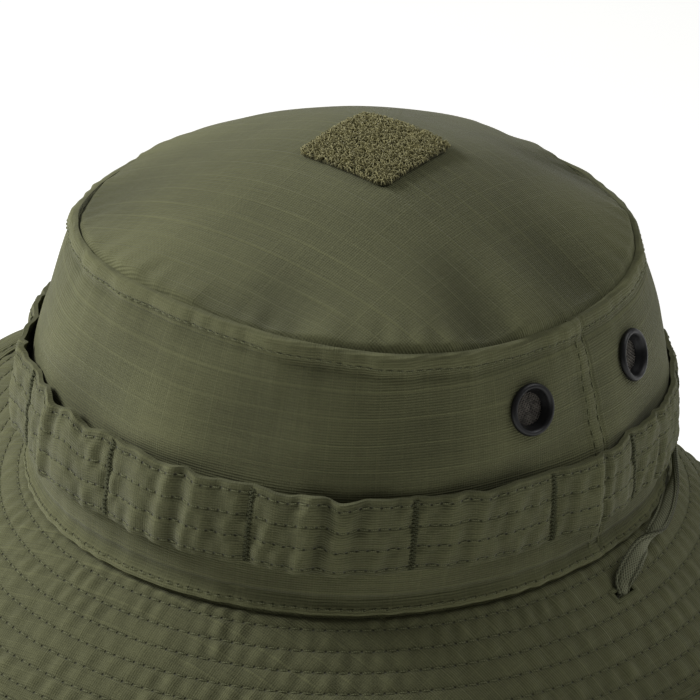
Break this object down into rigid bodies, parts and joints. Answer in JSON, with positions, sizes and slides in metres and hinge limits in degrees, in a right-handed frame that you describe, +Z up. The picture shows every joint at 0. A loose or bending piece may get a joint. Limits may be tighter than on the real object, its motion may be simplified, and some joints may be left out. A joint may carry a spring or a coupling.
{
  "type": "boonie hat",
  "caption": "Soft boonie hat with domed crown, wide row-stitched brim, branch-loop band, screened side vents, top loop patch and a chin strap with spring cord lock.",
  "frame": {"origin": "centre of the head opening, at the seam of crown and brim", "axes": "+Z up the crown, front of the hat towards -Y, wearer's left towards +X"},
  "size_m": [0.2834, 0.2743, 0.3463],
  "materials": {
    "ripstop_cloth": "matte ripstop polycotton",
    "loop_pile": "fuzzy nylon loop pile",
    "sweatband_cloth": "matte twill",
    "label_satin": "blank satin tape",
    "interlining_canvas": "stiff canvas",
    "painted_eyelet": "black painted brass, satin",
    "vent_mesh": "fine woven screen",
    "strap_braid": "flat ribbed nylon braid",
    "acetal_plastic": "moulded acetal, satin",
    "spring_wire": "drawn steel wire"
  },
  "bodies": {
    "hat": {"crown_tip": "ripstop_cloth", "crown_side_front": "ripstop_cloth", "crown_side_rear": "ripstop_cloth", "loop_patch": "loop_pile", "sweatband": "sweatband_cloth", "size_label": "label_satin", "brim_upper": "ripstop_cloth", "brim_interlining": "interlining_canvas", "brim_lower": "ripstop_cloth", "brim_edge_binding": "ripstop_cloth", "branch_loop_band": "ripstop_cloth", "vent_eyelet_front_left": "painted_eyelet", "vent_washer_front_left": "painted_eyelet", "vent_screen_front_left": "vent_mesh", "vent_eyelet_front_right": "painted_eyelet", "vent_washer_front_right": "painted_eyelet", "vent_screen_front_right": "vent_mesh", "vent_eyelet_rear_left": "painted_eyelet", "vent_washer_rear_left": "painted_eyelet", "vent_screen_rear_left": "vent_mesh", "vent_eyelet_rear_right": "painted_eyelet", "vent_washer_rear_right": "painted_eyelet", "vent_screen_rear_right": "vent_mesh", "chin_strap_rear": "strap_braid"},
    "chin_loop": {"chin_strap_left": "strap_braid", "chin_strap_right": "strap_braid", "strap_end_knot": "strap_braid"},
    "cord_lock": {"cord_lock_body": "acetal_plastic", "cord_lock_spring": "spring_wire"},
    "lock_plunger": {"cord_lock_plunger": "acetal_plastic"}
  },
  "joints": [
    {"name": "strap_swing", "type": "hinge", "parent": "hat", "child": "chin_loop", "pos_m": [0, 0.0018, -0.014], "axis": [1, 0, 0], "range_deg": [-65, 65]},
    {"name": "lock_slide", "type": "slide", "parent": "chin_loop", "child": "cord_lock", "axis": [0, 0, -1], "range_m": [0, 0.045]},
    {"name": "plunger_press", "type": "slide", "parent": "cord_lock", "child": "lock_plunger", "axis": [0, 1, 0], "range_m": [0, 0.003], "stiffness_N_per_m": 400, "springref_m": -0.003, "deforming": ["cord_lock_spring"]}
  ]
}
